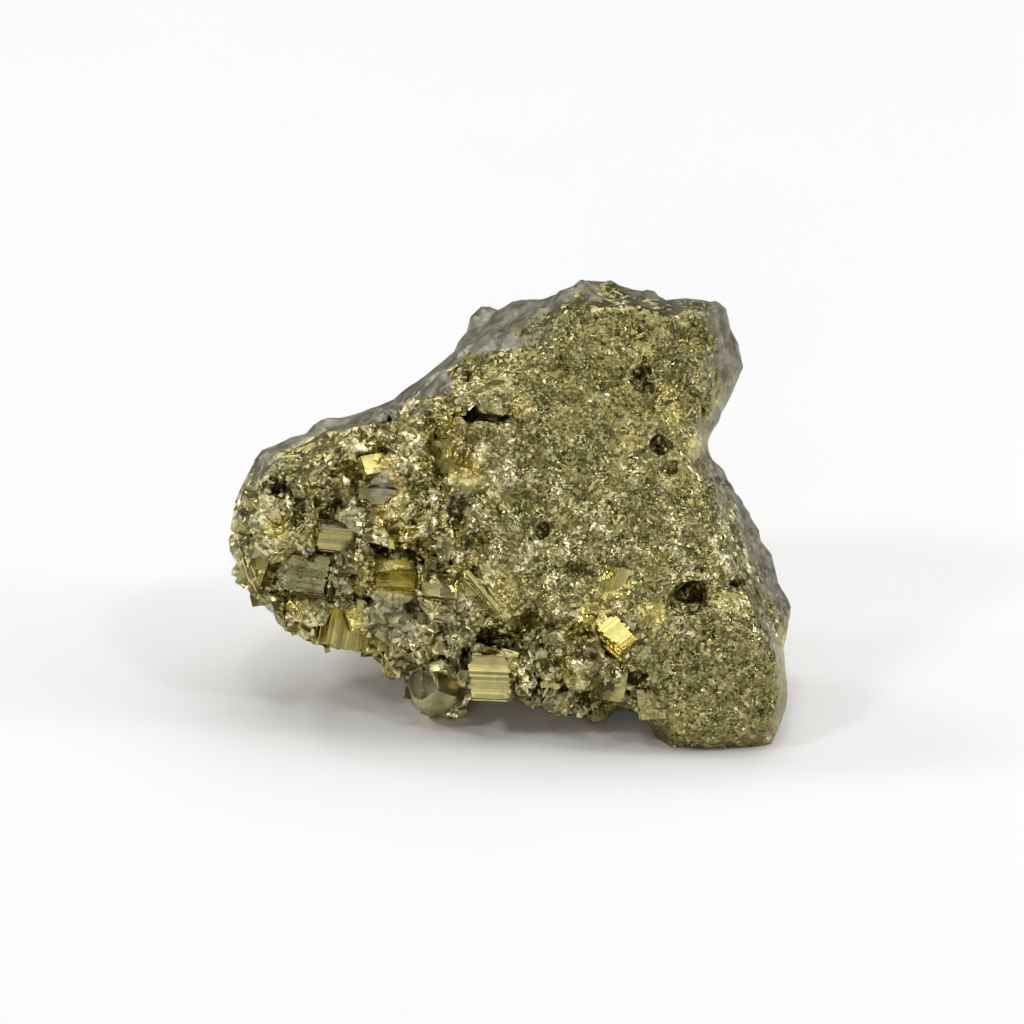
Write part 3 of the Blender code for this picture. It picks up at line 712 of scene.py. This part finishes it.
class Zones(NamedTuple):
    """What the surface is like at each point, from 0 to 1."""

    smooth: np.ndarray  # a smooth grey plane
    coarse: np.ndarray  # coarse crystals
    granular: np.ndarray  # fine grains
    crystals: np.ndarray  # a named crystal's own face
    named: np.ndarray  # the same, and a little of each hollow
    calm: np.ndarray  # weak relief
    above_ground: np.ndarray  # high enough to be moved


def zones_of(points):
    smooth, coarse = smooth_share(points), coarse_share(points)
    crystals = near_blocks(points, FLUTED + PLAIN_CRYSTALS, 0.5)
    named = np.maximum(0.15 * near_blocks(points, HOLLOWS, 0.5), crystals)
    granular = (1 - coarse) * (1 - smooth) * (1 - named)
    above_ground = smooth_step(to_row(points)[:, 2] / MM, 0.02, 0.3)
    return Zones(smooth, coarse, granular, crystals, named, spotted(points, CALM_SPOTS), above_ground)


def moved(points, normals, heights):
    return points + normals * heights[:, None]


def filled(points, triangles, zones):
    """The surface set back where other crystals stand in front of it, and raised where they fill a hollow."""
    normals = point_normals(points, triangles)
    floor = near_blocks(points, FILLED, 0.1) * smooth_step(normals[:, 2], 0.5, 0.8)
    hidden = [block for block in FLUTED + PLAIN_CRYSTALS if block.name in COVERED]
    drop = COVERED_DROP * near_blocks(points, hidden, 0.2, inset=0.2) * zones.above_ground
    points = moved(points, normals, -drop)
    points = points + (0, 0, 1) * (FILL * floor * (points[:, 2] < FILLED[0].at[2]))[:, None]
    missing = np.maximum(HALF_FILL_LEVEL - points[:, 2], 0)
    points[:, 2] += 0.5 * near_blocks(points, HALF_FILLED, 0.3) * missing
    return points


def rim_share(points, facing):
    """How strong the relief is: weak where the surface turns sideways and at the lobe's tip."""
    share = 0.15 + 0.85 * smooth_step(facing, 0.1, 0.75) + 0.3 * smooth_step(-facing, 0.1, 0.7)
    return share * (0.35 + 0.65 * smooth_step(points[:, 0], -22.0, -19.0))


def wide_relief(points, normals, rng, zones):
    """Heights in mm of steps, folds and facets a millimetre or two apart."""
    steps = pile_heights(points, normals, rng, spacing=1.2, side=1.5, family_size=3.0)
    folds = crumpled(points, rng, spacing=2.2, fold=1.2, slope=0.9)
    gentle = facet_heights(points, rng, spacing=2.4, slope=0.26) + 0.2 * streaks(points)
    broken = zones.coarse * (1 - zones.smooth) * (1 - zones.named) * (1 - 0.7 * zones.calm)
    height = broken * (0.15 * steps + 0.9 * folds)
    low = zones.granular * (1 - zones.calm) * (0.07 * ripples(points) + 0.15 * folds)
    return height + (zones.smooth * (gentle + 0.1 * folds) + low)


def fine_relief(points, normals, rng, zones, rough):
    """Heights in mm of grains and small folds."""
    grains = pile_heights(points, normals, rng, spacing=0.36, side=0.5)
    folds = crumpled(points, rng, spacing=1.1, fold=0.7, slope=0.9)
    height = 0.13 * zones.granular * (1 - 0.7 * zones.calm) * grains
    height = height + 0.02 * (1 - zones.granular) * (1 - zones.crystals) * grains
    broken = zones.coarse * (0.35 + 0.65 * rough) * (1 - zones.smooth) * (1 - zones.crystals)
    broken = broken * (1 - 0.8 * zones.calm)
    return height + (0.42 * broken * folds + 0.13 * zones.smooth * folds)


def darkness(points, triangles, sunk, zones):
    """Painted shade for each point lying in a hollow, where sunk is how far in mm the solid is sunk there."""
    narrow, broad = sunk_below(points, triangles, 5), sunk_below(points, triangles, 24)
    sunk = sunk + (2.0 * narrow + 0.6 * zones.coarse * broad) * (1 - zones.smooth)
    shade = (0.85 - 0.35 * zones.granular) * smooth_step(sunk, 0.1, CAVITY_DEPTH)
    return shade * (1 - 0.75 * spotted(points, GILT_SPOTS))


def make_skin(material):
    """The CAD's surface with its fine relief, and what it is like at each point."""
    rng = np.random.default_rng(SEED)
    points, triangles = cad_surface()
    sunk, facing = sunk_below(points, triangles, 7), point_normals(points, triangles)[:, 2]
    points, triangles = refined(np.column_stack([points, sunk, facing]), triangles, edge_goal)
    points, sunk = points[:, :3], points[:, 3]
    zones = zones_of(points)
    points = relaxed(points, triangles, zones.granular * zones.above_ground, 18)
    points = filled(points, triangles, zones)

    rough = smooth_step(patchy(points, 3.5, 8), -0.2, 0.2)
    normals = point_normals(points, triangles)
    facing = normals[:, 2]
    rim = rim_share(points, facing)
    points = moved(points, normals, wide_relief(points, normals, rng, zones) * rim * zones.above_ground)
    normals = point_normals(points, triangles)
    fine = fine_relief(points, normals, rng, zones, rough) * rim * zones.above_ground
    pits = spotted(points + 0.5 * patchy(points, 0.7, 14)[:, None], PITS) * (0.75 + patchy(points, 0.6, 15))
    points = moved(moved(points, normals, -pits), normals, fine)

    attributes = {
        "tarnish": tarnish_of(points),
        "gilt": gilt_of(points),
        # brightness of colour with painted light, shade and highlights, lower on the named crystals' faces
        "tone_and_painted_light": tone_and_painted_light_of(points) * (1 - 0.6 * zones.crystals),
        "coarse": zones.coarse,
        # painted shade in the hollows
        "shade_and_dark_tone": darkness(points, triangles, sunk, zones),
        "facing": facing,
    }
    skin = new_piece("skin", points, triangles, material, attributes)
    even = (zones.smooth[triangles].min(axis=1) > 0.5) & (zones.crystals[triangles].max(axis=1) < 0.5)
    skin.data.polygons.foreach_set("use_smooth", even)
    return skin


# a cube's corners and faces
CUBE_CORNERS = np.array([(x, y, z) for x in (-1, 1) for y in (-1, 1) for z in (-1, 1)]) / 2
CUBE_FACES = np.array([(0, 1, 3, 2), (4, 6, 7, 5), (0, 4, 5, 1), (2, 3, 7, 6), (0, 2, 6, 4), (1, 5, 7, 3)])


def box_faces(count):
    """The faces of several boxes, by the numbers of their corners."""
    return (np.arange(count)[:, None, None] * len(CUBE_CORNERS) + CUBE_FACES[None]).reshape(-1, 4)


def read_values(mesh, name):
    values = np.empty(len(mesh.vertices), np.float32)
    mesh.attributes[name].data.foreach_get("value", values)
    return values


def skin_samples(skin, rng, count):
    """Random places spread evenly over the skin's area.

    Gives each place, the way out of the skin, how dark it is and how far the solid under it faces forward.
    """
    mesh = skin.data
    points = to_face(mesh_points(mesh))
    triangles = np.empty(len(mesh.polygons) * 3, np.int32)
    mesh.polygons.foreach_get("vertices", triangles)
    triangles = triangles.reshape(-1, 3)
    normals = point_normals(points, triangles)
    a, b, c = (points[triangles[:, k]] for k in range(3))
    area = np.linalg.norm(np.cross(b - a, c - a), axis=1)
    chosen = rng.choice(len(triangles), count, p=area / area.sum())
    u, v = rng.random((2, count, 1))
    u, v = np.where(u + v > 1, 1 - u, u), np.where(u + v > 1, 1 - v, v)
    sites = a[chosen] + u * (b - a)[chosen] + v * (c - a)[chosen]
    outward = normals[triangles[chosen]].mean(axis=1)
    outward /= np.linalg.norm(outward, axis=1, keepdims=True)
    return sites, outward, *(read_values(mesh, name)[triangles[chosen, 0]] for name in ("shade_and_dark_tone", "facing"))


class Growth(NamedTuple):
    """Crystals of one kind on the skin: how many, how large in mm, of what shape and how far they stand out.

    sides are the smallest and largest side, shape stretches a cube's three axes, and proud is in sides.
    """

    name: str
    count: int
    sides: tuple
    shape: tuple
    proud: tuple
    family_size: float
    seed: int


def make_growth(growth, skin, material, share_of):
    """The crystals, most where share_of is 1."""
    rng = np.random.default_rng(growth.seed)
    low, high = growth.sides
    sites, outward, shade_and_dark_tone, facing = skin_samples(skin, rng, growth.count * 8)
    keep = rng.random(len(sites)) < share_of(sites) * (1 - smooth_step(shade_and_dark_tone, 0.3, 0.8))
    keep &= to_row(sites)[:, 2] > 0.9 * MM
    keep &= rng.random(len(sites)) < smooth_step(np.abs(facing), 0.3, 0.75)
    sites, outward = sites[keep][: growth.count], outward[keep][: growth.count]
    n = len(sites)
    side = low + (high - low) * rng.random(n) ** 2.2
    size = side[:, None] * rng.uniform(0.7, 1.35, (n, 3)) * growth.shape
    turns = family_turns(sites, rng, growth.family_size, spread=0.3)
    reach = (np.abs(np.einsum("nji,nj->ni", turns, outward)) * size).sum(axis=1) / 2
    middle = sites + outward * (side * rng.uniform(*growth.proud, n) - reach)[:, None]
    corners = middle[:, None] + np.einsum("nij,nkj->nki", turns, CUBE_CORNERS[None] * size[:, None])
    attributes = looks(
        tarnish_of(sites) + rng.uniform(-0.3, 0.2, n),
        gilt_of(sites) + rng.uniform(-0.2, 0.3, n),
        tone_and_painted_light_of(sites) + rng.uniform(-0.2, 0.3, n),
        np.zeros(n),
        len(CUBE_CORNERS),
    )
    return new_piece(growth.name, corners.reshape(-1, 3), box_faces(n), material, attributes)


def grain_share(points):
    named = near_blocks(points, FLUTED + PLAIN_CRYSTALS + HOLLOWS, 0.15, inset=0.25)
    clusters = smooth_step(patchy(points, 2.2, 9), -0.25, 0.3)
    front = 0.25 + 0.75 * smooth_step(points[:, 2], -6.0, -2.0)
    open_share = (1 - 0.97 * smooth_share(points)) * (1 - 0.75 * coarse_share(points))
    return open_share * (1 - named) * (1 - spotted(points, CALM_SPOTS)) * front * clusters


def crystal_share(points):
    named = near_blocks(points, FLUTED + PLAIN_CRYSTALS + HOLLOWS, 0.4, inset=0.15)
    low_rim = (1 - smooth_step(to_row(points)[:, 2] / MM, 3.0, 7.0)) * (points[:, 0] < 0)
    rim = np.maximum(low_rim, 1 - smooth_step(points[:, 0], -20.5, -18.5))
    front = 0.5 + 0.5 * smooth_step(points[:, 2], -6.0, -2.0)
    calm = 1 - 0.8 * spotted(points, CALM_SPOTS)
    return coarse_share(points) * (1 - smooth_share(points)) * (1 - np.maximum(named, rim)) * front * calm


def plates(block, stack, face, rng):
    """Thin boxes stacked along one axis of the block, which step in and out along another."""
    cuts = [-block.size[stack] / 2]
    while cuts[-1] < block.size[stack] / 2 - 0.1:
        cuts.append(cuts[-1] + rng.uniform(0.10, 0.34))
    cuts[-1] = block.size[stack] / 2
    boxes = []
    for low, high in zip(cuts, cuts[1:]):
        lows, highs = -np.array(block.size) / 2, np.array(block.size) / 2
        lows[stack], highs[stack] = low, high + 0.004
        bevel = 0.5 * (abs(low + high) / block.size[stack]) ** 6
        lows[face] -= rng.uniform(0.02, 0.12) - bevel
        highs[face] += rng.uniform(0.02, 0.12) - bevel
        lows[block.along] += rng.uniform(-0.1, 0.2) + bevel
        highs[block.along] -= rng.uniform(-0.1, 0.2) + bevel
        boxes.append(np.where(CUBE_CORNERS > 0, highs, lows))
    return boxes


def fluted_crystal(block, material, seed):
    """A crystal whose faces step in and out in narrow flutes, standing just proud of the CAD's."""
    rng = np.random.default_rng(seed)
    first, second = (k for k in range(3) if k != block.along)
    boxes = plates(block, first, second, rng) + plates(block, second, first, rng)
    corners = np.array(block.at) + np.concatenate(boxes) @ turn_of(block).T
    tints = rng.uniform(-0.15, 0.15, len(boxes))
    attributes = looks(
        block.tarnish + tints,
        block.gilt - tints,
        rng.uniform(0.15, 0.8, len(boxes)),
        block.dim + rng.uniform(-0.3, 0.3, len(boxes)),
        len(CUBE_CORNERS),
    )
    return new_piece(block.name, corners, box_faces(len(boxes)), material, attributes)


class Ridge(NamedTuple):
    """A thin edge of a crystal plate, coloured brightest as a painted highlight line: its course on the face
    and its half width, in mm.
    """

    course: tuple
    half: float


RIDGES = table(
    Ridge,
    (((-21.4, 15.4), (-20.9, 13.6), (-19.6, 11.6)), 0.13),
    (((-20.7, 14.6), (-20.0, 12.9)), 0.09),
    (((-17.5, 20.9), (-17.2, 19.9), (-17.6, 18.9)), 0.12),
    (((-16.6, 20.8), (-16.3, 19.8)), 0.08),
    (((-10.9, 15.5), (-10.9, 13.2)), 0.08),
    (((-12.3, 20.3), (-11.2, 21.0), (-10.0, 21.05), (-9.0, 20.6)), 0.11),
    (((-7.4, 23.1), (-6.6, 22.0), (-6.1, 21.2), (-5.8, 20.3)), 0.14),
    (((-7.9, 22.7), (-7.0, 22.2)), 0.08),
    (((-5.2, 24.5), (-4.9, 23.2), (-5.4, 22.0)), 0.08),
    (((14.4, 27.2), (14.7, 27.6), (15.1, 27.5), (15.2, 27.0), (15.7, 26.4)), 0.1),
    (((13.7, 26.3), (14.4, 27.1)), 0.16),
    (((15.9, 20.7), (15.6, 20.0), (15.0, 19.2)), 0.1),
    (((13.0, 20.3), (13.5, 21.3)), 0.12),
    (((-15.4, 18.2), (-13.2, 18.15), (-12.2, 17.6)), 0.09),
    (((-13.9, 17.6), (-13.2, 16.9), (-12.4, 16.2)), 0.07),
    (((-17.9, 15.6), (-17.0, 14.9), (-16.5, 15.4)), 0.08),
    (((7.1, 14.0), (7.0, 12.2), (6.9, 10.7)), 0.09),
    (((6.0, 10.9), (7.2, 10.6)), 0.09),
    (((-4.6, 14.4), (-3.2, 12.9), (-1.2, 10.6)), 0.1),
    (((-6.9, 5.2), (-6.0, 4.3)), 0.08),
)


def sampled(course, spacing):
    """Points along a broken line, about the spacing apart."""
    course = np.array(course, float)
    legs = np.linalg.norm(np.diff(course, axis=0), axis=1)
    along = np.concatenate([[0], np.cumsum(legs)])
    steps = np.linspace(0, along[-1], max(int(along[-1] / spacing), 3) + 1)
    return np.column_stack([np.interp(steps, along, course[:, k]) for k in range(2)])


def make_ridges(skin, material, rng):
    """Sharp low ridges along their courses, rooted in the skin."""
    surface = to_face(mesh_points(skin.data))
    surface = surface[surface[:, 2] > -4]
    corners, faces = [], []
    for ridge in RIDGES:
        middle = sampled(ridge.course, 0.3)
        middle += rng.uniform(-0.05, 0.05, middle.shape)
        near = [np.linalg.norm(surface[:, :2] - place, axis=1) < 0.4 for place in middle]
        height = np.array([np.percentile(surface[chosen, 2], 70) for chosen in near])
        height = np.convolve(np.pad(height, 1, mode="edge"), (0.25, 0.5, 0.25), mode="valid")
        way = np.gradient(middle, axis=0)
        side = np.column_stack([-way[:, 1], way[:, 0]]) / np.linalg.norm(way, axis=1, keepdims=True)
        taper = np.sin(np.linspace(0.25, math.pi - 0.25, len(middle))) ** 0.5
        half = (ridge.half * taper * rng.uniform(0.7, 1.2, len(middle)))[:, None]
        rows = [
            np.column_stack([middle - side * half, height - 0.5]),
            np.column_stack([middle - side * 0.6 * half, height + 0.7 * half[:, 0]]),
            np.column_stack([middle + side * 0.2 * half, height + 1.6 * half[:, 0]]),
            np.column_stack([middle + side * half, height - 0.5]),
        ]
        first, n = sum(len(c) for c in corners), len(middle)
        corners.append(np.stack(rows, axis=1).reshape(-1, 3))
        for k in range(n - 1):
            here = first + 4 * k
            for a, b in ((1, 0), (2, 1), (3, 2), (0, 3)):
                faces.append((here + a, here + b, here + 4 + b, here + 4 + a))
        last = first + 4 * (n - 1)
        faces += [(first, first + 1, first + 2, first + 3), (last + 3, last + 2, last + 1, last)]
    corners = np.concatenate(corners)
    none = np.zeros(len(corners))
    # the ridges get the brightest tone: painted highlight lines
    attributes = looks(none, 0.3 + patchy(corners, 2.0, 41), none + 1, none)
    return new_piece("ridges", corners, np.array(faces), material, attributes)


class Dome(NamedTuple):
    """A rounded crystal: its middle and radii in mm, and the ways its flat faces look."""

    name: str
    at: tuple
    radii: tuple
    faces: tuple
    tarnish: float


BUMP = Dome(
    "bump_crystal",
    (-6.0, 4.75, 2.05),
    (2.4, 2.1, 2.5),
    (
        ((-0.60, 0.12, 0.79), 0.78),
        ((0.05, -0.62, 0.78), 0.82),
        ((0.50, 0.25, 0.83), 0.84),
        ((0.92, -0.10, 0.38), 0.92),
        ((-0.15, -0.97, 0.20), 0.93),
        ((-0.95, -0.25, 0.18), 0.92),
        ((-0.62, -0.62, 0.48), 0.94),
        ((0.60, -0.75, 0.28), 0.95),
    ),
    0.25,
)


EDGE_SHARPNESS = 48  # higher is sharper


def rounded_crystal(dome, material):
    """A ball cut flat on the dome's faces, whose edges are worn round."""
    ball = bmesh.new()
    bmesh.ops.create_icosphere(ball, subdivisions=5, radius=1.0)
    ways = np.array([v.co for v in ball.verts])
    triangles = np.array([[v.index for v in face.verts] for face in ball.faces])
    ball.free()
    cuts = np.ones(len(ways))
    for normal, reach in dome.faces:
        cuts = cuts + np.maximum(ways @ normal / reach, 0) ** EDGE_SHARPNESS
    points = np.array(dome.at) + ways * dome.radii * (cuts ** (-1 / EDGE_SHARPNESS))[:, None]
    points += ways * 0.02 * patchy(points, 0.5, 31)[:, None]
    attributes = looks(
        dome.tarnish + 0.5 * patchy(points, 1.2, 32),
        0.1 + 0.8 * patchy(points, 1.5, 33),
        0.8 + patchy(points, 1.0, 34),
        0.8 * patchy(points, 0.8, 35),
    )
    crystal = new_piece(dome.name, points, triangles, material, attributes)
    crystal.data.shade_smooth()
    return crystal


# -------- the studio

# pairs of height and glow, from the horizon at 0 to overhead at 1
ROOM_GLOW = [(0.0, 0.20), (0.4, 0.11), (1.0, 0.08)]
# azimuth and elevation in degrees, distance and size in metres, power in watts
LIGHTS = [
    (160, 68, 0.7, 0.85, 3.0),
    (-60, 45, 0.6, 0.10, 0.52),
    (50, 50, 0.6, 0.08, 0.36),
    (-20, 75, 0.6, 0.06, 0.24),
    (85, 25, 0.6, 0.08, 0.40),
    (-100, 25, 0.6, 0.10, 0.46),
    (-136, 47, 0.6, 0.10, 0.40),
    (-10, 6, 0.7, 0.50, 1.25),
    (90, 40, 0.7, 0.40, 0.72),
]
FLOOR_SIDE = 6.0  # m


def area_light(name, azimuth, elevation, distance, size, power, target):
    """A soft light that looks at the target from the given side and height."""
    data = bpy.data.lights.new(name, "AREA")
    data.shape = "DISK"
    data.size = size
    data.energy = power
    lamp = new_object(name, data)
    side, up = math.radians(azimuth), math.radians(elevation)
    away = Vector((math.sin(side) * math.cos(up), -math.cos(side) * math.cos(up), math.sin(up)))
    lamp.location = target + away * distance
    lamp.rotation_euler = away.to_track_quat("Z", "Y").to_euler()


def make_floor():
    mesh = bpy.data.meshes.new("floor")
    half = FLOOR_SIDE / 2
    corners = [(-half, -half, 0), (half, -half, 0), (half, half, 0), (-half, half, 0)]
    mesh.from_pydata(corners, [], [(0, 1, 2, 3)])
    mesh.materials.append(floor_material())
    new_object("floor", mesh)


def make_studio():
    """A grey room, brightest low down, a large soft light overhead and small ones that make grains glint."""
    world = bpy.data.worlds.new("studio")
    world.use_nodes = True
    tree = world.node_tree
    direction = tree.nodes.new("ShaderNodeSeparateXYZ")
    place = tree.nodes.new("ShaderNodeTexCoord").outputs["Generated"]
    tree.links.new(place, direction.inputs[0])
    glow = tree.nodes.new("ShaderNodeValToRGB")
    stops = glow.color_ramp.elements
    stops.new(0.5)
    for stop, (height, strength) in zip(stops, ROOM_GLOW):
        stop.position = height
        stop.color = (strength, strength, strength, 1)
    tree.links.new(direction.outputs["Z"], glow.inputs["Fac"])
    tree.links.new(glow.outputs["Color"], tree.nodes["Background"].inputs["Color"])
    bpy.context.scene.world = world
    target = Vector((0, 0, 0.015))
    for k, light in enumerate(LIGHTS):
        area_light(f"light_{k}", *light, target)


PHOTO_SIDE = 1024  # px
PX_PER_MM = 12.56
VIEW_CENTRE = (0.0, 18.79, 0.0)  # mm, the face frame's point at the picture's middle
CAMERA_DISTANCE = 0.8  # m


def make_camera():
    data = bpy.data.cameras.new("camera")
    data.sensor_width = 36.0
    data.lens = data.sensor_width * CAMERA_DISTANCE / (PHOTO_SIDE / PX_PER_MM * MM)
    data.clip_start, data.clip_end = 0.01, 20.0
    camera = new_object("camera", data)
    outward = (FACE_TO_ROW.to_3x3() @ Vector((0, 0, 1))).normalized()
    camera.location = FACE_TO_ROW @ Vector(VIEW_CENTRE) + outward * CAMERA_DISTANCE
    camera.rotation_euler = outward.to_track_quat("Z", "Y").to_euler()
    bpy.context.scene.camera = camera


def build():
    skin_metal = pyrite_material("pyrite_skin", (0.20, 0.40), 0.62, (0.34, 0.65), (0.65, 0.45))
    grain_metal = pyrite_material("pyrite_grain", (0.20, 0.40), 0.45, (0.25, 0.15))
    crystal_metal = pyrite_material("pyrite_crystal", (0.14, 0.34), 0.12, (0.4, 0.12))
    fluted_metal = pyrite_material("pyrite_fluted", (0.16, 0.34), 0.04, (0.6, 0.02))
    skin = make_skin(skin_metal)
    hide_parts(NODE)
    grains = Growth("grains", 9000, (0.18, 0.42), (1, 1, 1), (0.2, 0.5), 0.0, 21)
    crystals = Growth("crystals", 520, (0.35, 0.9), (1, 1, 1), (0.04, 0.18), 2.5, 22)
    blades = Growth("blades", 600, (0.4, 0.72), (2.0, 1.0, 0.3), (0.08, 0.25), 1.8, 23)
    make_growth(grains, skin, grain_metal, grain_share)
    make_growth(crystals, skin, crystal_metal, crystal_share)
    make_growth(blades, skin, crystal_metal, crystal_share)
    for k, block in enumerate(FLUTED):
        fluted_crystal(block, fluted_metal, 40 + k)
    rounded_crystal(BUMP, fluted_metal)
    make_ridges(skin, fluted_metal, np.random.default_rng(SEED))
    make_floor()
    make_studio()
    make_camera()
    bpy.context.scene.view_settings.view_transform = "Standard"


build()
